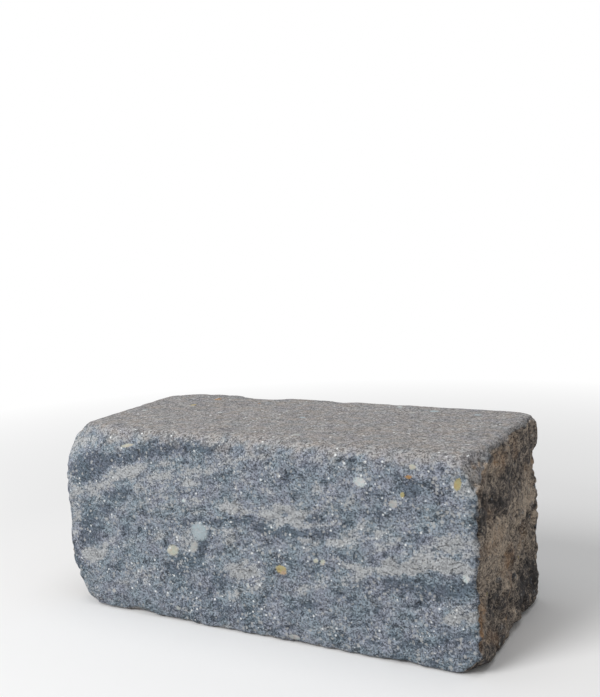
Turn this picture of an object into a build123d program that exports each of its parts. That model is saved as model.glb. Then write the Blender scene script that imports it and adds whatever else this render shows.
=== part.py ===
"""A tumbled concrete wall block: one cast piece, with worn arrises, knocked corners, hollows and chips.

X runs along the block, -Y is the split front face and +Z is up.
The origin is the centre of the lower bed face.  All sizes are in millimetres.
"""

from build123d import *

import os

# Overall size of the block
length = 350.0
depth = 150.0
height = 150.0

# Wear of the arrises that run across the block: reach along the bed, reach up or down the end
left_lower_wear = (15.0, 31.0)
right_lower_wear = (4.5, 6.0)
right_upper_wear = (8.0, 7.0)
left_upper_wear = (24.0, 30.0)

# Wear of the arrises that run along the block: reach across the bed, reach up or down the face
front_lower_wear = (3.0, 2.5)
back_lower_wear = (6.0, 7.0)
back_upper_wear = (8.0, 8.0)
front_upper_wear = (13.0, 10.0)

# Wear of the upright arrises: reach along the block, reach across the end
front_left_wear = (9.0, 10.0)
front_right_wear = (5.0, 5.0)
back_right_wear = (24.0, 6.0)
back_left_wear = (12.0, 10.0)

# Corners knocked off: how far each facet reaches along the block, across it and up or down
front_right_upper_knock = (16.0, 34.0, 26.0)
front_right_lower_knock = (16.0, 30.0, 14.0)
back_right_upper_knock = (22.0, 14.0, 16.0)
back_right_lower_knock = (22.0, 16.0, 12.0)
front_left_lower_knock = (32.0, 18.0, 45.0)
front_left_upper_knock = (60.0, 24.0, 46.0)
back_left_upper_knock = (56.0, 34.0, 54.0)
back_left_lower_knock = (52.0, 32.0, 66.0)

# Hollows split out of the upright faces: place along the face, place up it, width, how deep it bites
right_end_hollows = [
    (-40.0, 112.0, 62.0, 3.6),
    (16.0, 124.0, 56.0, 3.0),
    (46.0, 94.0, 34.0, 1.4),
    (-2.0, 84.0, 40.0, 1.6),
    (38.0, 46.0, 66.0, 4.6),
    (-20.0, 60.0, 44.0, 2.4),
    (-42.0, 34.0, 54.0, 4.0),
    (-2.0, 22.0, 36.0, 2.4),
]
left_end_hollows = [
    (-26.0, 102.0, 56.0, 3.8),
    (20.0, 104.0, 50.0, 3.0),
    (-34.0, 60.0, 46.0, 2.8),
    (6.0, 66.0, 48.0, 2.2),
    (-8.0, 28.0, 52.0, 4.0),
    (32.0, 50.0, 44.0, 3.2),
]
front_hollows = [
    (-122.0, 84.0, 84.0, 1.2),
    (-56.0, 52.0, 92.0, 1.5),
    (-34.0, 112.0, 76.0, 1.0),
    (34.0, 74.0, 88.0, 1.2),
    (106.0, 46.0, 84.0, 1.4),
    (112.0, 108.0, 80.0, 1.1),
]
back_hollows = [
    (-118.0, 66.0, 88.0, 1.8),
    (-58.0, 96.0, 84.0, 1.4),
    (-20.0, 44.0, 80.0, 1.8),
    (48.0, 98.0, 92.0, 1.6),
    (84.0, 46.0, 78.0, 1.5),
    (132.0, 92.0, 70.0, 1.8),
]

# Chips knocked out of the arrises: radius of the scoop, how deep it bites in from the sharp arris, its place
end_chip_radius = 34.0
end_chip_bite = 9.0
end_chip_up = 108.0
front_chip_radius = 40.0
front_chip_bite = 4.5
front_chip_place = -106.0
bed_chip_radius = 34.0
bed_chip_bite = 5.5
bed_chip_place = 8.0
back_chip_radius = 48.0
back_chip_bite = 11.0
back_chip_place = -64.0


def worn_outline(plane, left, right, bottom, top, wear):
    """Sketches a rectangle whose corners are quarter ellipses, from the lower left one anticlockwise."""
    corners = [
        ((left, bottom), (1, 1), 180),
        ((right, bottom), (-1, 1), 270),
        ((right, top), (-1, -1), 0),
        ((left, top), (1, -1), 90),
    ]
    with BuildSketch(plane) as outline:
        with BuildLine():
            arcs = []
            for ((corner_x, corner_y), (inward_x, inward_y), turn), (reach_x, reach_y) in zip(corners, wear):
                centre = (corner_x + inward_x * reach_x, corner_y + inward_y * reach_y)
                arcs.append(EllipticalCenterArc(centre, reach_x, reach_y, start_angle=turn, arc_size=90))
            for arc, next_arc in zip(arcs, arcs[1:] + arcs[:1]):
                Line(arc @ 1, next_arc @ 0)
        make_face()
    return outline.sketch


def knock_off(x_side, y_side, z_side, reaches):
    """Breaks a flat facet off one corner of the block in progress."""
    along, across, up = reaches
    start = Vector(x_side * (length / 2 - along), y_side * depth / 2, height if z_side > 0 else 0)
    facet = Plane(origin=start, z_dir=Vector(x_side / along, y_side / across, z_side / up))
    split(bisect_by=facet, keep=Keep.BOTTOM)


def hollow_out(middle, outward, width, bite):
    """Scoops a wide shallow hollow out of an upright face of the block in progress."""
    radius = ((width / 2) ** 2 + bite**2) / (2 * bite)
    with Locations(Plane(middle + outward * (radius - bite), x_dir=outward, z_dir=(0, 0, 1))):
        Sphere(radius, mode=Mode.SUBTRACT)


def chip_out(place, outward, radius, bite):
    """Scoops a shallow hollow out of an arris of the block in progress."""
    with Locations(place + outward.normalized() * (radius - bite)):
        Sphere(radius, mode=Mode.SUBTRACT)


with BuildPart() as wall_block:
    # the block as seen from the front, from the right end and from above
    across_wear = [left_lower_wear, right_lower_wear, right_upper_wear, left_upper_wear]
    front_view = worn_outline(Plane.XZ, -length / 2, length / 2, 0, height, across_wear)
    extrude(front_view, amount=depth / 2, both=True)
    along_wear = [front_lower_wear, back_lower_wear, back_upper_wear, front_upper_wear]
    end_view = worn_outline(Plane.YZ, -depth / 2, depth / 2, 0, height, along_wear)
    extrude(end_view, amount=length / 2, both=True, mode=Mode.INTERSECT)
    upright_wear = [front_left_wear, front_right_wear, back_right_wear, back_left_wear]
    plan = worn_outline(Plane.XY, -length / 2, length / 2, -depth / 2, depth / 2, upright_wear)
    extrude(plan, amount=height, mode=Mode.INTERSECT)

    # knocked corners
    knock_off(1, -1, 1, front_right_upper_knock)
    knock_off(1, -1, -1, front_right_lower_knock)
    knock_off(1, 1, 1, back_right_upper_knock)
    knock_off(1, 1, -1, back_right_lower_knock)
    knock_off(-1, -1, -1, front_left_lower_knock)
    knock_off(-1, -1, 1, front_left_upper_knock)
    knock_off(-1, 1, 1, back_left_upper_knock)
    knock_off(-1, 1, -1, back_left_lower_knock)

    # hollows of the ends, the front and the back
    for along, up, width, bite in right_end_hollows:
        hollow_out(Vector(length / 2, along, up), Vector(1, 0, 0), width, bite)
    for along, up, width, bite in left_end_hollows:
        hollow_out(Vector(-length / 2, along, up), Vector(-1, 0, 0), width, bite)
    for along, up, width, bite in front_hollows:
        hollow_out(Vector(along, -depth / 2, up), Vector(0, -1, 0), width, bite)
    for along, up, width, bite in back_hollows:
        hollow_out(Vector(along, depth / 2, up), Vector(0, 1, 0), width, bite)

    # chips
    end_chip = Vector(length / 2, depth / 2, end_chip_up)
    chip_out(end_chip, Vector(1, 1, 0), end_chip_radius, end_chip_bite)
    bed_chip = Vector(length / 2, bed_chip_place, 0)
    chip_out(bed_chip, Vector(1, 0, -1), bed_chip_radius, bed_chip_bite)
    front_chip = Vector(front_chip_place, -depth / 2, 0)
    chip_out(front_chip, Vector(0, -1, -1), front_chip_radius, front_chip_bite)
    back_chip = Vector(back_chip_place, depth / 2, height)
    chip_out(back_chip, Vector(0, 1, 1), back_chip_radius, back_chip_bite)

wall_block.part.label = "wall_block"

os.makedirs("parts", exist_ok=True)
export_step(wall_block.part, "parts/wall_block.step")
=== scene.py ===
"""A tumbled concrete wall block: its rough surface, its banded concrete, and a plain pale studio."""

import math

import bpy
import numpy as np
from mathutils import Matrix, Vector, noise


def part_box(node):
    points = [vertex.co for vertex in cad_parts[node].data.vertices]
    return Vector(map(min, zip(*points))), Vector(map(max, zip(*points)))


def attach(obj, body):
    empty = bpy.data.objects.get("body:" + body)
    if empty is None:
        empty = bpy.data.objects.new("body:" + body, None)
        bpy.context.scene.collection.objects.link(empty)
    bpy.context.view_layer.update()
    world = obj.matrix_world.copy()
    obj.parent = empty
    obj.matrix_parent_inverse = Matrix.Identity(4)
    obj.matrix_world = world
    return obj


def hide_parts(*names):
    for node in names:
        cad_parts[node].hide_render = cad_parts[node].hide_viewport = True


MM = 0.001
NODE = "wall_block"

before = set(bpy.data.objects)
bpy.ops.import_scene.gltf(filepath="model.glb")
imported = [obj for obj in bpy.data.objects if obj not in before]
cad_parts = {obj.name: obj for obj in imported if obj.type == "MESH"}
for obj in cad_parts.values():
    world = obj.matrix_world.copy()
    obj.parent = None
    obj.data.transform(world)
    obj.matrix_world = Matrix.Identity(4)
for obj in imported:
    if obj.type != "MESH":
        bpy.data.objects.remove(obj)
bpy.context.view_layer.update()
low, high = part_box(NODE)
HALF_LENGTH = (high.x - low.x) / 2
HALF_DEPTH = (high.y - low.y) / 2
HEIGHT = high.z - low.z

# Surface mesh
VOXEL = 1.65 * MM
SMOOTHING_ROUNDS = 6
SMOOTHING_SHARE = 0.5

# A field of waves is given by the size of the waves, its seed and its octaves
SEED_SHIFT = (13.7, -7.9, 5.3)
WAVE_DECAY = 1.0
WAVE_STEP = 2.0

# Relief: the waves, then how far they reach on the front and back, on the ends and on the beds
RELIEF = [
    ((70 * MM, 7, 3), 0.6 * MM, 0.8 * MM, 0.25 * MM),
    ((26 * MM, 8, 3), 0.8 * MM, 1.6 * MM, 0.20 * MM),
    ((11 * MM, 9, 3), 0.6 * MM, 3.6 * MM, 0.16 * MM),
    ((5 * MM, 10, 3), 0.6 * MM, 1.5 * MM, 0.14 * MM),
]
RELIEF_INSET = (0.1 * MM, 0.9 * MM, 0.05 * MM)
RELIEF_SOFTNESS = 0.5 * MM
ROUGHNESS = (38 * MM, 15, 2)
ROUGHNESS_SWING = 1.1
LEAST_ROUGHNESS = 0.3

# Pits of the faces; the last two values paint shade darker into the pits
PITS = (6.5 * MM, 16, 2)
PIT_DEPTH = 4.0 * MM
PIT_LEVEL = 0.30
PIT_LOSS_ON_BEDS = 0.85
PIT_PAINTED_SHADE_GAIN = 3
PIT_PAINTED_SHADE = 0.7

# Chipping along the arrises
ARRIS_REACH = 6 * MM
ARRIS_CHIPS = (24 * MM, 18, 3)
ARRIS_CHIP_DEPTH = 5.0 * MM
ARRIS_CHIP_LEVEL = 0.12
ARRIS_CRUMBLE = (8 * MM, 19, 3)
ARRIS_CRUMBLE_DEPTH = 1.1 * MM

# The lower front arris is worn higher left of a small step
STEP_PLACE = -55 * MM
STEP_SOFTNESS = 3 * MM
STEP_RISE = 1.3 * MM
STEP_REACH = 7 * MM

# Where each kind of face begins and is whole, by how much the surface faces that way
FRONT_SLOPE = (0.15, 0.5)
RIGHT_SLOPE = (0.3, 0.6)
RIGHT_END_SLOPE = (0.80, 0.92)
LEFT_END_SLOPE = (0.72, 0.90)
BED_SLOPE = (0.45, 1.0)
# The split end runs down under its lower arris, and the upper bed's colour runs over its upper one
UNDERCUT_PULL = 0.45
UPPER_ARRIS_RISE = (0.2, 0.45)
UPPER_ARRIS_LEAN = (0.2, 0.4)
# Ragged borders between the kinds of face
BORDER = (7 * MM, 31, 3)
BORDER_REACH = 0.16
BED_BORDER_FACTOR = 1.5
# How far down the faces the colour of the upper bed fades out
TOP_BLEND = 12 * MM
TOP_BLEND_SHARE = 0.85
TOP_WAVER = (10 * MM, 36, 3)
TOP_WAVER_REACH = 9 * MM

# The patches' outlines are shaken along, across and up by slow waves, and by finer waves all ways at once
PATCH_EDGE = (1.45, 0.55)
WARP_ALONG = (22 * MM, 28, 3)
WARP_ACROSS = (22 * MM, 29, 3)
WARP_LEVEL_REACH = 4.5 * MM
WARP_UP = (16 * MM, 30, 3)
WARP_UP_REACH = 3.2 * MM
FINE_WARP = (6 * MM, 27, 2)
FINE_WARP_REACH = 2.4 * MM

# Bands of the front and back
BANDS = (17 * MM, 33, 4)
BAND_STRENGTH = 1.6
BAND_SHARE_ON_FRONT = 0.25
BAND_STRETCH = (0.28, 0.55, 1.0)
BAND_WAVER = (60 * MM, 32, 3)
BAND_WAVER_REACH = 9 * MM

# Mottle and loose stains of the split ends
MOTTLE = (20 * MM, 34, 4)
RIGHT_MOTTLE_STRENGTH = 0.65
LEFT_MOTTLE_STRENGTH = 0.78
LEFT_TONE = -0.15
LOOSE_STAINS = (24 * MM, 35, 2)
LOOSE_STAIN_LEVEL = 0.25
LOOSE_STAIN_STRENGTH = 0.9

TONE_LOSS_ON_BEDS = 0.8
TONE_RANGE = (-1.8, 1.5)

# Paler and darker patches of the front, in mm: x, z, half length, half width, tilt in degrees, tone
FRONT_PATCHES = [
    (-126, 140, 48, 10, 6, 0.35),
    (-165, 128, 12, 7, 30, 0.6),
    (-128, 108, 36, 5.5, 24, 0.75),
    (-88, 119, 30, 8, 18, 0.5),
    (-55, 116, 26, 9, 4, 0.45),
    (-97, 103, 8, 3.5, 5, 0.9),
    (-14, 97, 14, 5.5, 8, 0.9),
    (-30, 128, 24, 7, 6, 0.35),
    (10, 139, 9, 8, 60, 0.45),
    (0, 147, 60, 2.5, 0, 0.5),
    (30, 94, 27, 9, 3, 1.2),
    (58, 80, 20, 3.6, 8, 0.85),
    (62, 117, 10, 6, 0, 0.6),
    (90, 92, 30, 7, 12, 0.4),
    (161, 89, 18, 7, 0, 0.7),
    (128, 72, 44, 5.5, 7, 0.95),
    (158, 73, 20, 5, -4, 0.8),
    (95, 61, 24, 4.5, 16, 0.65),
    (162, 41, 12, 7, 0, 0.9),
    (-6, 50, 16, 6, 10, 1.0),
    (4, 38, 17, 4, 16, 0.65),
    (-20, 30, 10, 3.6, 12, 0.8),
    (48, 44, 18, 4, 14, 0.35),
    (-147, 45, 14, 6.5, 24, 1.1),
    (-100, 31, 20, 5, -6, 0.45),
    (-58, 64, 13, 6, 50, 0.5),
    (-160, 90, 10, 16, 0, 0.55),
    (-166, 62, 7, 16, 0, 0.5),
    (135, 143, 40, 4, 8, 0.4),
    (168, 134, 9, 9, 0, 0.7),
    (-147, 117, 20, 12, 6, -1.35),
    (-105, 129, 34, 5, 14, -1.2),
    (-68, 142, 20, 7, 8, -1.0),
    (-30, 141, 36, 4.5, 2, -1.1),
    (34, 146, 26, 2.5, 2, -0.5),
    (-120, 92, 22, 5.5, 28, -0.9),
    (-150, 66, 12, 14, 0, -1.2),
    (-167, 40, 6, 14, 10, -0.9),
    (-126, 32, 14, 5, 20, -0.5),
    (-42, 62, 16, 5.5, 62, -1.2),
    (-65, 45, 13, 9, 20, -1.1),
    (-28, 40, 10, 8, 0, -0.6),
    (-20, 86, 26, 4.5, 8, -0.8),
    (8, 88, 12, 4, -10, -0.8),
    (36, 83, 30, 3.6, 4, -1.9),
    (57, 96, 7, 2.6, 0, -1.4),
    (72, 91, 12, 3.6, 20, -1.1),
    (136, 59, 40, 7.5, 2, -1.1),
    (86, 47, 26, 5, 10, -0.7),
    (40, 58, 30, 6, 5, -0.35),
    (112, 112, 26, 10, 0, -0.4),
    (140, 96, 20, 6, 30, -0.5),
    (30, 122, 24, 8, 0, -0.4),
    (135, 128, 20, 6, 0, -0.5),
    (60, 14, 150, 26, 0, -0.35),
]

# The same for the right end: y, z, half length, half width, tilt, tone
END_PATCHES = [
    (-8, 82, 64, 12, 5, 0.8),
    (48, 90, 24, 9, 0, 0.8),
    (-34, 88, 18, 5, 0, 0.6),
    (-16, 58, 12, 18, 0, 0.9),
    (32, 58, 10, 10, 0, 0.8),
    (55, 56, 16, 12, 0, 0.2),
    (57, 116, 8, 8, 0, 1.2),
    (-30, 138, 16, 6, 0, 0.7),
    (20, 140, 30, 7, 0, 0.2),
    (-66, 46, 10, 8, 0, 0.7),
    (46, 18, 30, 18, 0, -2.0),
    (56, 75, 18, 3, 4, -1.3),
    (-20, 110, 52, 13, 0, -1.0),
    (38, 124, 26, 11, 0, -0.8),
    (-38, 36, 18, 13, 0, -0.9),
    (-48, 10, 30, 12, 0, -0.9),
    (-58, 98, 12, 18, 0, -0.8),
    (5, 30, 10, 16, 0, -0.3),
]

# Rusty stains of the right end: y, z, half length, half width, tilt, strength
END_STAINS = [
    (-8, 34, 3.5, 20, -4, 1.0),
    (-71, 36, 5, 16, 0, 1.0),
    (-5, 56, 14, 7, 10, 0.45),
    (-40, 82, 26, 5, 4, 0.35),
    (35, 62, 10, 8, 0, 0.45),
    (62, 112, 8, 7, 0, 0.6),
    (-60, 42, 6, 10, 0, 0.6),
    (-28, 136, 12, 3.5, 0, 0.5),
]

# Colours of the pebbles and specks
PALE_BLUE = (0.40, 0.47, 0.52)
CREAM = (0.56, 0.55, 0.47)
OCHRE = (0.46, 0.38, 0.17)
RUST = (0.40, 0.22, 0.08)
SALMON = (0.50, 0.35, 0.23)
WHITE = (0.61, 0.65, 0.67)
PALE_GREY = (0.46, 0.47, 0.47)
SPECK = (0.80, 0.82, 0.82)
PEBBLE_COLOURS = [PALE_GREY, WHITE, CREAM, PALE_BLUE, OCHRE, RUST]
PEBBLE_SHADES = [(1.05, 0.95, 0.90), (0.92, 1.00, 0.97)]

# Pebbles that show in the front, in mm: x, z, half length, half width, tilt in degrees, colour
FRONT_PEBBLES = [
    (-44, 75, 8, 7.5, -30, PALE_BLUE),
    (-50, 62, 5.5, 3, 60, PALE_GREY),
    (-70, 57, 5.5, 4.5, 20, CREAM),
    (25.5, 55, 4.8, 3.2, 0, OCHRE),
    (27, 53, 3.2, 2.2, 0, SALMON),
    (91, 126, 5, 3.6, -15, WHITE),
    (127, 133, 2.8, 1.6, 0, RUST),
    (122, 120, 1.8, 2.4, 0, OCHRE),
    (161, 131, 2.6, 4.6, -10, OCHRE),
    (165.5, 68, 2.7, 3.3, 0, WHITE),
    (130, 140, 2.4, 2, 0, CREAM),
    (115, 113, 3.6, 3, 0, PALE_GREY),
    (-56, 98, 1.9, 1.9, 0, WHITE),
    (-106, 137, 8, 1.4, 12, CREAM),
    (60, 65, 2.2, 2.2, 0, CREAM),
    (54, 65, 2.2, 1.8, 0, CREAM),
    (-3, 39, 1.3, 2.6, 0, WHITE),
    (34, 5, 5, 2.4, 0, PALE_GREY),
    (-68, 11, 2.6, 1.6, -40, PALE_GREY),
    (-130, 16, 2.4, 1.8, 0, PALE_GREY),
]
FRONT_FACING = -0.5
NO_PEBBLE = -9.0

# Pebbles scattered over the other sides, more of them small and of the first colours
SCATTERED_PEBBLES = 90
SCATTER_SEED = 7
PEBBLE_RADII = (1.4 * MM, 4.2 * MM)
SMALL_PEBBLE_BIAS = 3
PEBBLE_STRETCH = (0.75, 1.25)
FIRST_COLOUR_BIAS = 1.6
FRONT_KEPT_CLEAR = 8 * MM

# Colours of the concrete
DARK_SLATE = (0.108, 0.131, 0.164)
SLATE = (0.220, 0.248, 0.290)
PALE_CONCRETE = (0.374, 0.386, 0.398)
GREEN_TINT = (0.94, 1.015, 1.00)
PURPLE_TINT = (1.03, 0.99, 1.01)
CHIP_GREY = (0.450, 0.452, 0.445)
BED_GREY = (0.290, 0.262, 0.241)
SPLIT_DARK = (0.054, 0.049, 0.048)
SPLIT_BROWN = (0.256, 0.216, 0.182)
SPLIT_PALE = (0.560, 0.462, 0.366)
STAIN = (0.360, 0.210, 0.110)

# In the material a cloud is a noise, given by its size, detail and roughness.  A range gives the two
# values that come in and the two that they turn into.

# Sand grain: cells of mixed brightness and finer noise
SAND_CELL = 1.1 * MM
SAND_CELL_WEIGHT = 0.55
FINE_SAND = (0.8 * MM, 2.0, 0.65)
GRAIN_RANGE = (0.50, 1.05, -1.0, 1.0)
GRAIN_STRENGTH = 0.56
GRAIN_LOSS_IN_PALE = 0.20

# Round grit and chips: size of their cells, reach in cells, share of the cells that have one
DARK_GRIT = (1.9 * MM, 0.36, 0.45)
DARK_GRIT_STRENGTH = 0.60
PALE_GRIT = (2.3 * MM, 0.32, 0.42)
PALE_GRIT_STRENGTH = 0.62
GRIT_CORE = 0.55
# The chips and the specks have no share of their own: the crowds give it
CHIPS = (3.4 * MM, 0.44)
CHIP_SHAKE = (1.8 * MM, 3.2 * MM)
CHIP_STRENGTH = 0.75
CROWDS = (24 * MM, 2.0, 0.5)
CROWD_RANGE = (0.38, 0.62, 0.05, 0.62)
SPECKS = (5.6 * MM, 0.19)
FINE_SPECKS = (3.3 * MM, 0.20)
FINE_SPECK_CROWDING = 0.45
SPECK_STRENGTH = 0.9
SPECK_LOSS_ON_SPLIT = 0.6

# Layers of the banded concrete: they rise to the right of the front, and are longer than they are high
LAYER_TILT = math.radians(-18)
LAYER_STRETCH = (2.2, 1.3, 1.0)
LAYERS = (7 * MM, 6.0, 0.72)
LAYER_RANGE = (0.3, 0.7, -1.0, 0.9)
TONE_GRAIN = 0.22
PALE_RANGE = (0.20, 0.75, 0.0, 1.0)
DARK_RANGE = (-0.20, -0.85, 0.0, 1.0)
TINTS = (14 * MM, 4.0, 0.6)
EVEN_RANGE = (0.38, 0.62, 0.0, 1.0)
BARE_BED_RANGE = (-0.6, 0.6, 0.50, 0.0)

# Short fissures along the contours of a cloud, broken off by another, with shade painted dark into them
CONTOURS = (20 * MM, 5.0, 0.6)
CONTOUR_LEVEL = 0.5
FISSURE_RANGE = (0.004, 0.016, 1.0, 0.0)
BREAKS = (11 * MM, 2.0, 0.5)
BREAK_RANGE = (0.50, 0.58, 0.0, 1.0)
FISSURE_PAINTED_SHADE = 0.55

# Split ends
SPLIT_CLOUD = (9 * MM, 5.0, 0.75)
SPLIT_CLOUD_RANGE = (0.35, 0.65, -0.9, 0.9)
SPLIT_TONE_WEIGHT = 0.85
SPLIT_GRAIN_WEIGHT = 0.60
SPLIT_CELL = 4.0 * MM
SPLIT_CELL_RANGE = (0.0, 1.0, -0.7, 0.7)
SPLIT_TONE_RANGE = (-1.6, 1.6, 0.0, 1.0)
SPLIT_STOPS = (0.10, 0.50, 0.90)
SPLIT_GRAIN_STRENGTH = 0.34
RUST_RANGE = (0.40, 0.58, 0.25, 0.9)
SPLIT_STRETCH = (0.5, 0.5, 1.0)
SPLIT_SHAKE = (1.6 * MM, 2.6 * MM)
SPLIT_DARK_GRIT = (3.0 * MM, 0.44, 0.60)
SPLIT_DARK_GRIT_STRENGTH = 0.52
SPLIT_PALE_GRIT = (2.8 * MM, 0.36, 0.45)
SPLIT_PALE_GRIT_STRENGTH = 0.55

# Edges and blotches of the pebbles
PEBBLE_EDGE_RANGE = (0.3, 0.7, -0.22, 0.22)
PEBBLE_RANGE = (-0.06, 0.22, 0.0, 0.85)
BLOTCHES = (3.2 * MM, 3.0, 0.7)

# Sandy surface
BUMP_CELL = 2.4 * MM
BUMP_CELL_WEIGHT = 0.5
BUMP_SAND_WEIGHT = 0.6
LUMPS = (6.5 * MM, 4.0, 0.7)
LUMP_WEIGHT = 0.9
FISSURE_WEIGHT = 0.6
BUMP_STRENGTH = 0.60
BUMP_GAIN_ON_SPLIT = 0.40
BUMP_LOSS_ON_BEDS = 0.20
BUMP_DISTANCE = 1.1 * MM
ROUGHNESS_RANGE = (0.3, 0.7, 0.78, 0.97)
SPECULAR_LEVEL = 0.35

# Studio
FLOOR_SIZE = 5.0
FLOOR_COLOUR = (0.90, 0.90, 0.90)
FLOOR_BOUNCE = (0.50, 0.50, 0.50)
FLOOR_FADE = (0.40, 1.0)
SKY_FILL = 0.35
WHITE_LIGHT = (1, 1, 1)
# Each lamp: name, place, what it faces, size, power
LAMPS = [
    ("key", (-0.9, -1.9, 1.5), (0, 0, 0.07), 1.3, 47.5),
    ("top", (0.1, -0.1, 1.9), (0, 0, 0.07), 1.4, 8.5),
]

# Camera, fitted to the block's outline in the photograph
CAMERA_PLACE = (0.3736, -0.6666, 0.3137)
CAMERA_YAW = math.radians(-28.654)
CAMERA_PITCH = math.radians(8.158)
CAMERA_ROLL = math.radians(-2.706)
CAMERA_FOCUS_PX = 992.8
PHOTO_HEIGHT_PX = 697
SENSOR = 36.0


def smoothstep(start, end, value):
    t = np.clip((value - start) / (end - start), 0, 1)
    return t * t * (3 - 2 * t)


def waves(points, size, seed, octaves):
    """Smooth noise of about -1 to 1 at each point, with waves of the given size."""
    offset = Vector([seed * shift for shift in SEED_SHIFT])
    scale = 1 / size
    places = (Vector(point) * scale + offset for point in points)
    return np.array([noise.fractal(place, WAVE_DECAY, WAVE_STEP, octaves) for place in places])


def ellipse_distance(across, up, ellipse):
    """Each place's distance from the middle of a tilted ellipse given in mm, 1 on its outline."""
    middle_across, middle_up, half_length, half_width, tilt = ellipse
    turn = math.radians(tilt)
    dx, dy = across / MM - middle_across, up / MM - middle_up
    along = (dx * math.cos(turn) + dy * math.sin(turn)) / half_length
    aside = (dy * math.cos(turn) - dx * math.sin(turn)) / half_width
    return np.hypot(along, aside)


def patch_field(across, up, patches):
    """Adds up the soft elliptical patches at places on a face, given in metres."""
    total = np.zeros(len(across))
    for *ellipse, strength in patches:
        total += strength * smoothstep(*PATCH_EDGE, ellipse_distance(across, up, ellipse))
    return total


def dense_copy(source):
    """A finely and evenly meshed copy of a CAD solid, with its sharp edges eased."""
    piece = bpy.data.objects.new("block_surface", source.data.copy())
    bpy.context.scene.collection.objects.link(piece)
    remesh = piece.modifiers.new("even mesh", "REMESH")
    remesh.mode = "VOXEL"
    remesh.voxel_size = VOXEL
    smooth = piece.modifiers.new("eased edges", "SMOOTH")
    smooth.factor = SMOOTHING_SHARE
    smooth.iterations = SMOOTHING_ROUNDS
    graph = bpy.context.evaluated_depsgraph_get()
    mesh = bpy.data.meshes.new_from_object(piece.evaluated_get(graph))
    piece.modifiers.clear()
    piece.data = mesh
    return piece


def read_vectors(items, name, count):
    values = np.zeros(count * 3, np.float32)
    items.foreach_get(name, values)
    return values.reshape(-1, 3).astype(float)


def store(mesh, name, values):
    attribute = mesh.attributes.new(name, "FLOAT", "POINT")
    attribute.data.foreach_set("value", np.asarray(values, np.float32))


def facing_shares(normals):
    """How much each point faces the front or back, an end, and up or down.  The three add up to 1."""
    end, side, bed = np.abs(normals).T ** 2
    share = side + end + bed
    return side / share, end / share, bed / share


def carve(piece):
    """Moves the surface inwards into split faces, crumbled arrises and small chips, and gives back how much
    shade to paint into the pits.
    """
    mesh = piece.data
    count = len(mesh.vertices)
    points = read_vectors(mesh.vertices, "co", count)
    normals = read_vectors(mesh.vertex_normals, "vector", count)
    side, end, bed = facing_shares(normals)

    inward = RELIEF_INSET[0] * side + RELIEF_INSET[1] * end + RELIEF_INSET[2] * bed
    rough = np.maximum(1 + ROUGHNESS_SWING * waves(points, *ROUGHNESS), LEAST_ROUGHNESS)
    for relief_waves, on_side, on_end, on_bed in RELIEF:
        reach = on_side * side + on_end * end + on_bed * bed
        inward += rough * reach * waves(points, *relief_waves)

    pits_and_pit_shade = np.maximum(waves(points, *PITS) - PIT_LEVEL, 0)
    inward += PIT_DEPTH * pits_and_pit_shade * (1 - PIT_LOSS_ON_BEDS * bed)

    gaps = np.stack([
        HALF_LENGTH - np.abs(points[:, 0]),
        HALF_DEPTH - np.abs(points[:, 1]),
        np.minimum(points[:, 2], HEIGHT - points[:, 2]),
    ], axis=1)
    from_arris = np.sort(gaps, axis=1)[:, 1]
    near_arris = np.exp(-from_arris / ARRIS_REACH)
    chips = np.maximum(waves(points, *ARRIS_CHIPS) - ARRIS_CHIP_LEVEL, 0)
    crumble = waves(points, *ARRIS_CRUMBLE)
    inward += near_arris * (ARRIS_CHIP_DEPTH * chips + ARRIS_CRUMBLE_DEPTH * crumble)

    left_of_step = smoothstep(STEP_PLACE + STEP_SOFTNESS, STEP_PLACE - STEP_SOFTNESS, points[:, 0])
    from_lower_front = np.hypot(points[:, 1] + HALF_DEPTH, points[:, 2])
    inward += STEP_RISE * left_of_step * np.exp(-((from_lower_front / STEP_REACH) ** 2))

    # a soft floor of zero keeps the surface inside the solid
    inward = (inward + np.hypot(inward, RELIEF_SOFTNESS)) / 2
    points -= normals * inward[:, None]
    mesh.vertices.foreach_set("co", points.astype(np.float32).ravel())
    mesh.update()
    # painted shade: how much darker the colour is painted in each pit
    return points, normals, np.clip(PIT_PAINTED_SHADE_GAIN * pits_and_pit_shade, 0, 1)


def kinds_of_face(points, normals):
    """How much each point belongs to the front, to the right side, to a split end and to a bed."""
    outward, upward = normals[:, 0], normals[:, 2]
    ragged = BORDER_REACH * waves(points, *BORDER)
    undercut = UNDERCUT_PULL * np.maximum(-upward, 0)
    right_end = smoothstep(*RIGHT_END_SLOPE, np.abs(outward) + undercut + ragged)
    left_end = smoothstep(*LEFT_END_SLOPE, -outward + ragged)
    end = np.where(points[:, 0] < 0, left_end, right_end)

    front = smoothstep(*FRONT_SLOPE, -normals[:, 1])
    right = smoothstep(*RIGHT_SLOPE, outward)

    bed = smoothstep(*BED_SLOPE, np.abs(upward) + BED_BORDER_FACTOR * ragged)
    below_top = points[:, 2] - HEIGHT + TOP_WAVER_REACH * waves(points, *TOP_WAVER)
    near_top = smoothstep(-TOP_BLEND, 0, below_top)
    upper_arris = smoothstep(*UPPER_ARRIS_RISE, upward + ragged) * smoothstep(*UPPER_ARRIS_LEAN, outward)
    bed = np.maximum(bed, np.maximum(TOP_BLEND_SHARE * near_top, upper_arris)) * (1 - end)
    return front, right, end, bed


def shaken_points(points):
    """The points moved about, which gives the patches laid on them ragged outlines."""
    shaken = points + np.stack([
        WARP_LEVEL_REACH * waves(points, *WARP_ALONG),
        WARP_LEVEL_REACH * waves(points, *WARP_ACROSS),
        WARP_UP_REACH * waves(points, *WARP_UP),
    ], axis=1)
    return shaken + FINE_WARP_REACH * waves(points, *FINE_WARP)[:, None]


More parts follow.
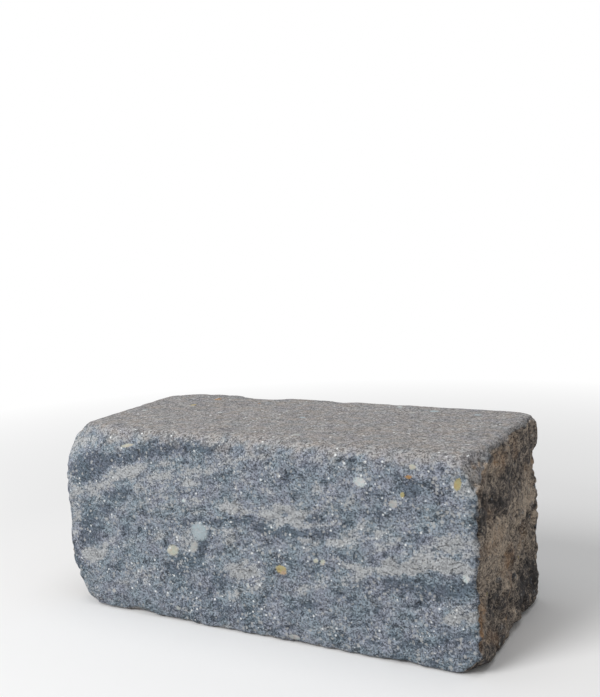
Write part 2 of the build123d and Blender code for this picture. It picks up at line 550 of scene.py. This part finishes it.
def colour_fields(piece, points, normals, pits_and_pit_shade):
    """Writes the slow changes of colour to the mesh: tone with painted shade in the pits, kinds of face and
    stains.
    """
    front, right, end, bed = kinds_of_face(points, normals)
    along, across, up = shaken_points(points).T

    waver = BAND_WAVER_REACH * waves(points, *BAND_WAVER)[:, None]
    bands = BAND_STRENGTH * waves(points * np.array(BAND_STRETCH) + waver, *BANDS)
    front_tone = patch_field(along, up, FRONT_PATCHES) + BAND_SHARE_ON_FRONT * bands
    banded_tone = front_tone * front + bands * (1 - front)

    mottle = waves(points, *MOTTLE)
    right_tone = patch_field(across, up, END_PATCHES) + RIGHT_MOTTLE_STRENGTH * mottle
    left_tone = LEFT_TONE + LEFT_MOTTLE_STRENGTH * mottle
    split_tone = right_tone * right + left_tone * (1 - right)

    tone_and_pit_shade = banded_tone * (1 - end) * (1 - TONE_LOSS_ON_BEDS * bed) + split_tone * end
    # painted shade: the tone is made darker in the pits
    tone_and_pit_shade -= PIT_PAINTED_SHADE * pits_and_pit_shade

    loose_stains = np.maximum(waves(points, *LOOSE_STAINS) - LOOSE_STAIN_LEVEL, 0)
    stains = patch_field(across, up, END_STAINS) * right + LOOSE_STAIN_STRENGTH * loose_stains * end

    store(piece.data, "tone_and_pit_shade", np.clip(tone_and_pit_shade, *TONE_RANGE))
    store(piece.data, "split_end", end)
    store(piece.data, "bed", bed)
    store(piece.data, "stain", np.clip(stains, 0, 1))


def pebbles(piece, points, normals):
    """Writes each point's distance into the nearest pebble, in radii, and that pebble's colour."""
    inside = np.full(len(points), NO_PEBBLE)
    colour = np.tile(np.array(PALE_GREY), (len(points), 1))

    def lay(depth, pebble_colour):
        nearer = depth > inside
        inside[nearer] = depth[nearer]
        colour[nearer] = pebble_colour

    on_front = normals[:, 1] < FRONT_FACING
    for *ellipse, pebble_colour in FRONT_PEBBLES:
        depth = 1 - ellipse_distance(points[:, 0], points[:, 2], ellipse)
        lay(np.where(on_front, depth, NO_PEBBLE), pebble_colour)

    draw = np.random.default_rng(SCATTER_SEED)
    least_radius, greatest_radius = PEBBLE_RADII
    for _ in range(SCATTERED_PEBBLES):
        centre = points[draw.integers(len(points))]
        radius = least_radius + (greatest_radius - least_radius) * draw.random() ** SMALL_PEBBLE_BIAS
        stretch = draw.uniform(*PEBBLE_STRETCH, 3)
        pebble_colour = PEBBLE_COLOURS[int(len(PEBBLE_COLOURS) * draw.random() ** FIRST_COLOUR_BIAS)]
        if centre[1] > -HALF_DEPTH + FRONT_KEPT_CLEAR:
            lay(1 - np.linalg.norm((points - centre) * stretch, axis=1) / radius, pebble_colour)

    store(piece.data, "pebble", inside)
    attribute = piece.data.attributes.new("pebble_colour", "FLOAT_COLOR", "POINT")
    opaque = np.concatenate([colour, np.ones((len(points), 1))], axis=1)
    attribute.data.foreach_set("color", opaque.astype(np.float32).ravel())


class Nodes:
    """A short way to write a material's nodes."""

    def __init__(self, material):
        material.use_nodes = True
        self.tree = material.node_tree
        self.tree.nodes.clear()

    def add(self, kind, inputs=None, **settings):
        node = self.tree.nodes.new(kind)
        for name, value in settings.items():
            setattr(node, name, value)
        for name, value in (inputs or {}).items():
            self.feed(node.inputs[name], value)
        return node

    def feed(self, socket, value):
        if isinstance(value, bpy.types.NodeSocket):
            self.tree.links.new(value, socket)
        else:
            socket.default_value = value

    def attribute(self, name, output="Fac"):
        return self.add("ShaderNodeAttribute", attribute_name=name).outputs[output]

    def math(self, operation, first, second=0.0, third=0.0):
        return self.add("ShaderNodeMath", {0: first, 1: second, 2: third}, operation=operation).outputs[0]

    def vector_math(self, operation, first, second, third=(0, 0, 0)):
        node = self.add("ShaderNodeVectorMath", {0: first, 1: second, 2: third}, operation=operation)
        return node.outputs[0]

    def remap(self, value, low_in, high_in, low_out, high_out):
        ends = {0: value, 1: low_in, 2: high_in, 3: low_out, 4: high_out}
        return self.add("ShaderNodeMapRange", ends).outputs[0]

    def mix(self, share, first, second, blend="MIX"):
        """Two colours mixed, which are the node's inputs 6 and 7."""
        node = self.add("ShaderNodeMix", data_type="RGBA", blend_type=blend)
        self.feed(node.inputs[0], share)
        self.feed(node.inputs[6], first)
        self.feed(node.inputs[7], second)
        return node.outputs[2]

    def cloud(self, where, size, detail, roughness):
        settings = {"Vector": where, "Scale": 1 / size, "Detail": detail, "Roughness": roughness}
        return self.add("ShaderNodeTexNoise", settings).outputs[0]

    def grains(self, where, size):
        """A random value for each grain, and the distance from the grain's middle."""
        cells = self.add("ShaderNodeTexVoronoi", {"Vector": where, "Scale": 1 / size})
        parts = self.add("ShaderNodeSeparateColor", {0: cells.outputs["Color"]})
        return parts.outputs[0], cells.outputs["Distance"]

    def dots(self, where, size, reach, share):
        """1 in round dots, which a share of the grains of that size have."""
        value, distance = self.grains(where, size)
        close = self.remap(distance, GRIT_CORE * reach, reach, 1.0, 0.0)
        return self.math("MULTIPLY", close, self.math("LESS_THAN", value, share))

    def shaken(self, where, size, reach):
        """The places, each moved about by noise of the given size."""
        settings = {"Vector": where, "Scale": 1 / size, "Detail": 1.0}
        cloud = self.add("ShaderNodeTexNoise", settings).outputs["Color"]
        spread = self.vector_math("SUBTRACT", cloud, (0.5, 0.5, 0.5))
        return self.vector_math("MULTIPLY_ADD", spread, (reach, reach, reach), where)

    def shade(self, colour, mask, strength):
        """The colour made brighter where the mask is above 0, and darker where it is below."""
        factor = self.math("MULTIPLY_ADD", mask, strength, 1.0)
        grey = self.add("ShaderNodeCombineColor", {0: factor, 1: factor, 2: factor}).outputs[0]
        return self.mix(1.0, colour, grey, "MULTIPLY")

    def cover(self, colour, mask, strength, paint):
        """The colour with a paint over it where the mask is 1."""
        return self.mix(self.math("MULTIPLY", mask, strength), colour, rgba(paint))


def rgba(colour):
    return (*colour, 1.0)


def sand_grain(n, where):
    """Cells of mixed brightness broken up by finer noise, and that finer noise."""
    sand, _ = n.grains(where, SAND_CELL)
    fine = n.cloud(where, *FINE_SAND)
    grain = n.math("ADD", n.math("MULTIPLY", sand, SAND_CELL_WEIGHT), fine)
    return n.remap(grain, *GRAIN_RANGE), fine


def fissure_and_shade_mask(n, where, layered, bed):
    """1 in short fissures, where the colour is darkened as painted shade, none of them on the beds."""
    from_contour = n.math("ABSOLUTE", n.math("SUBTRACT", n.cloud(layered, *CONTOURS), CONTOUR_LEVEL))
    kept = n.remap(n.cloud(where, *BREAKS), *BREAK_RANGE)
    fissures_and_shade = n.math("MULTIPLY", n.remap(from_contour, *FISSURE_RANGE), kept)
    return n.math("MULTIPLY", fissures_and_shade, n.math("SUBTRACT", 1.0, bed))


def banded_colour(n, where, layered, tone_and_pit_shade, bed, grain, fissures_and_shade, crowding):
    """The layered concrete of the front and back, and the browner and plainer beds."""
    ragged = n.remap(n.cloud(layered, *LAYERS), *LAYER_RANGE)
    loose_tone = n.math("ADD", tone_and_pit_shade, ragged)
    loose_tone = n.math("ADD", loose_tone, n.math("MULTIPLY", grain, TONE_GRAIN))
    pale_share = n.remap(loose_tone, *PALE_RANGE)
    dark_share = n.remap(loose_tone, *DARK_RANGE)
    tint = n.mix(n.remap(n.cloud(where, *TINTS), *EVEN_RANGE), rgba(GREEN_TINT), rgba(PURPLE_TINT))
    colour = n.mix(1.0, n.mix(dark_share, rgba(SLATE), rgba(DARK_SLATE)), tint, "MULTIPLY")
    colour = n.mix(pale_share, colour, rgba(PALE_CONCRETE))

    bare = n.math("MULTIPLY", bed, n.remap(ragged, *BARE_BED_RANGE))
    colour = n.mix(n.math("SUBTRACT", bed, bare), colour, rgba(BED_GREY))

    grain_strength = n.math("MULTIPLY_ADD", pale_share, -GRAIN_LOSS_IN_PALE, GRAIN_STRENGTH)
    colour = n.shade(colour, grain, grain_strength)
    colour = n.shade(colour, n.dots(where, *DARK_GRIT), -DARK_GRIT_STRENGTH)
    # painted shade: the colour is darkened in the fissures
    colour = n.shade(colour, fissures_and_shade, -FISSURE_PAINTED_SHADE)
    colour = n.cover(colour, n.dots(where, *PALE_GRIT), PALE_GRIT_STRENGTH, PALE_CONCRETE)
    chips = n.dots(n.shaken(where, *CHIP_SHAKE), *CHIPS, crowding)
    return n.cover(colour, chips, CHIP_STRENGTH, CHIP_GREY)


def split_colour(n, where, tone_and_pit_shade, grain):
    """The split ends: brown and nearly black, rusty in places, with coarse grit."""
    cloud = n.cloud(where, *SPLIT_CLOUD)
    coarse, _ = n.grains(where, SPLIT_CELL)
    split_tone = n.math("MULTIPLY", tone_and_pit_shade, SPLIT_TONE_WEIGHT)
    split_tone = n.math("ADD", split_tone, n.remap(cloud, *SPLIT_CLOUD_RANGE))
    split_tone = n.math("ADD", split_tone, n.math("MULTIPLY", grain, SPLIT_GRAIN_WEIGHT))
    split_tone = n.math("ADD", split_tone, n.remap(coarse, *SPLIT_CELL_RANGE))
    ramp = n.add("ShaderNodeValToRGB", {0: n.remap(split_tone, *SPLIT_TONE_RANGE)})
    first, last = ramp.color_ramp.elements
    first.position, middle_position, last.position = SPLIT_STOPS
    first.color = rgba(SPLIT_DARK)
    last.color = rgba(SPLIT_PALE)
    ramp.color_ramp.elements.new(middle_position).color = rgba(SPLIT_BROWN)

    rusty = n.math("MULTIPLY", n.attribute("stain"), n.remap(cloud, *RUST_RANGE))
    colour = n.mix(rusty, ramp.outputs[0], rgba(STAIN))
    colour = n.shade(colour, grain, SPLIT_GRAIN_STRENGTH)
    flat_places = n.shaken(n.vector_math("MULTIPLY", where, SPLIT_STRETCH), *SPLIT_SHAKE)
    colour = n.shade(colour, n.dots(flat_places, *SPLIT_DARK_GRIT), -SPLIT_DARK_GRIT_STRENGTH)
    return n.cover(colour, n.dots(flat_places, *SPLIT_PALE_GRIT), SPLIT_PALE_GRIT_STRENGTH, SPLIT_PALE)


def with_pebbles(n, colour, where, fine):
    """The colour with the pebbles over it, their edges broken by the fine sand."""
    depth = n.math("ADD", n.attribute("pebble"), n.remap(fine, *PEBBLE_EDGE_RANGE))
    blotch = n.remap(n.cloud(where, *BLOTCHES), *EVEN_RANGE)
    shade = n.mix(blotch, rgba(PEBBLE_SHADES[0]), rgba(PEBBLE_SHADES[1]))
    pebble_colour = n.mix(1.0, n.attribute("pebble_colour", "Color"), shade, "MULTIPLY")
    return n.mix(n.remap(depth, *PEBBLE_RANGE), colour, pebble_colour)


def with_specks(n, colour, where, split_end, crowding):
    """The colour with white specks over it, fewer on the split ends."""
    fine_crowding = n.math("MULTIPLY", crowding, FINE_SPECK_CROWDING)
    specks = n.math("MAXIMUM", n.dots(where, *SPECKS, crowding), n.dots(where, *FINE_SPECKS, fine_crowding))
    strength = n.math("MULTIPLY_ADD", split_end, -SPECK_LOSS_ON_SPLIT, SPECK_STRENGTH)
    return n.cover(colour, specks, strength, SPECK)


def sandy_bump(n, where, split_end, bed, fine, fissures_and_shade):
    """The normals of a sandy surface, deeper on the split ends."""
    _, from_middle = n.grains(where, BUMP_CELL)
    sand = n.math("MULTIPLY", fine, BUMP_SAND_WEIGHT)
    height = n.math("ADD", sand, n.math("MULTIPLY", from_middle, -BUMP_CELL_WEIGHT))
    height = n.math("ADD", height, n.math("MULTIPLY", n.cloud(where, *LUMPS), LUMP_WEIGHT))
    height = n.math("SUBTRACT", height, n.math("MULTIPLY", fissures_and_shade, FISSURE_WEIGHT))
    off_split = n.math("MULTIPLY_ADD", bed, -BUMP_LOSS_ON_BEDS, BUMP_STRENGTH)
    strength = n.math("MULTIPLY_ADD", split_end, BUMP_GAIN_ON_SPLIT, off_split)
    return n.add("ShaderNodeBump", {
        "Height": height,
        "Strength": strength,
        "Distance": BUMP_DISTANCE,
    }).outputs[0]


def concrete():
    material = bpy.data.materials.new("banded_concrete")
    n = Nodes(material)
    where = n.add("ShaderNodeTexCoord").outputs["Object"]
    layered = n.add("ShaderNodeMapping", {
        "Vector": where, "Rotation": (0, LAYER_TILT, 0), "Scale": LAYER_STRETCH,
    }, vector_type="TEXTURE").outputs[0]
    # painted shade: the tone attribute also holds the shade painted into the pits
    tone_and_pit_shade = n.attribute("tone_and_pit_shade")
    split_end = n.attribute("split_end")
    bed = n.attribute("bed")
    grain, fine = sand_grain(n, where)
    fissures_and_shade = fissure_and_shade_mask(n, where, layered, bed)
    crowding = n.remap(n.cloud(where, *CROWDS), *CROWD_RANGE)

    banded = banded_colour(n, where, layered, tone_and_pit_shade, bed, grain, fissures_and_shade, crowding)
    colour = n.mix(split_end, banded, split_colour(n, where, tone_and_pit_shade, grain))
    colour = with_pebbles(n, colour, where, fine)
    colour = with_specks(n, colour, where, split_end, crowding)

    surface = n.add("ShaderNodeBsdfPrincipled", {
        "Base Color": colour,
        "Roughness": n.remap(fine, *ROUGHNESS_RANGE),
        "Specular IOR Level": SPECULAR_LEVEL,
        "Normal": sandy_bump(n, where, split_end, bed, fine, fissures_and_shade),
    })
    n.add("ShaderNodeOutputMaterial", {0: surface.outputs[0]})
    return material


def block():
    piece = dense_copy(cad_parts[NODE])
    points, normals, pits_and_pit_shade = carve(piece)
    colour_fields(piece, points, normals, pits_and_pit_shade)
    pebbles(piece, points, normals)
    piece.data.materials.clear()
    piece.data.materials.append(concrete())
    piece.data.shade_smooth()
    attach(piece, "root")
    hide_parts(NODE)


def seen_only(n):
    """1 for rays that the camera sees directly, in a reflection or through glass."""
    path = n.add("ShaderNodeLightPath")
    seen = n.math("MAXIMUM", path.outputs["Is Camera Ray"], path.outputs["Is Glossy Ray"])
    return n.math("MAXIMUM", seen, path.outputs["Is Transmission Ray"])


def floor():
    """A pale floor that keeps the block's shadow and fades into the white of the background."""
    bpy.ops.mesh.primitive_plane_add(size=FLOOR_SIZE)
    plane = bpy.context.object
    plane.name = "floor"
    material = bpy.data.materials.new("pale_floor")
    n = Nodes(material)
    place = n.add("ShaderNodeTexCoord").outputs["Object"]
    distance = n.add("ShaderNodeVectorMath", {0: place}, operation="LENGTH").outputs["Value"]
    far = n.remap(distance, *FLOOR_FADE, 0.0, 1.0)
    seen = seen_only(n)
    matt = n.add("ShaderNodeBsdfDiffuse", {0: n.mix(seen, rgba(FLOOR_BOUNCE), rgba(FLOOR_COLOUR))})
    white = n.add("ShaderNodeEmission", {0: rgba(WHITE_LIGHT), 1: 1.0})
    blend = n.add("ShaderNodeMixShader", {0: n.math("MULTIPLY", far, seen)})
    n.feed(blend.inputs[1], matt.outputs[0])
    n.feed(blend.inputs[2], white.outputs[0])
    n.add("ShaderNodeOutputMaterial", {0: blend.outputs[0]})
    plane.data.materials.append(material)


def sky():
    """White where it is seen, and a soft fill light for everything else."""
    world = bpy.data.worlds.new("studio")
    bpy.context.scene.world = world
    n = Nodes(world)
    strength = n.remap(seen_only(n), 0.0, 1.0, SKY_FILL, 1.0)
    light = n.add("ShaderNodeBackground", {0: rgba(WHITE_LIGHT), 1: strength})
    n.add("ShaderNodeOutputWorld", {0: light.outputs[0]})


def lamps():
    for name, place, target, size, power in LAMPS:
        lamp = bpy.data.lights.new(name, "AREA")
        lamp.shape = "DISK"
        lamp.size = size
        lamp.energy = power
        holder = bpy.data.objects.new(name, lamp)
        holder.location = place
        aim = Vector(target) - Vector(place)
        holder.rotation_euler = aim.to_track_quat("-Z", "Y").to_euler()
        bpy.context.scene.collection.objects.link(holder)


def camera():
    forward = Vector((math.sin(CAMERA_YAW), math.cos(CAMERA_YAW), 0))
    right = Vector((math.cos(CAMERA_YAW), -math.sin(CAMERA_YAW), 0))
    up = Vector((0, 0, 1))
    view = forward * math.cos(CAMERA_PITCH) - up * math.sin(CAMERA_PITCH)
    tilted_up = up * math.cos(CAMERA_PITCH) + forward * math.sin(CAMERA_PITCH)
    side = right * math.cos(CAMERA_ROLL) + tilted_up * math.sin(CAMERA_ROLL)
    top = tilted_up * math.cos(CAMERA_ROLL) - right * math.sin(CAMERA_ROLL)
    lens = bpy.data.cameras.new("camera")
    lens.sensor_fit = "VERTICAL"
    lens.sensor_height = SENSOR
    lens.lens = CAMERA_FOCUS_PX / PHOTO_HEIGHT_PX * SENSOR
    holder = bpy.data.objects.new("camera", lens)
    turn = Matrix((side, top, -view)).transposed()
    holder.matrix_world = Matrix.Translation(CAMERA_PLACE) @ turn.to_4x4()
    bpy.context.scene.collection.objects.link(holder)
    bpy.context.scene.camera = holder


block()
floor()
sky()
lamps()
camera()
bpy.context.scene.view_settings.view_transform = "Standard"
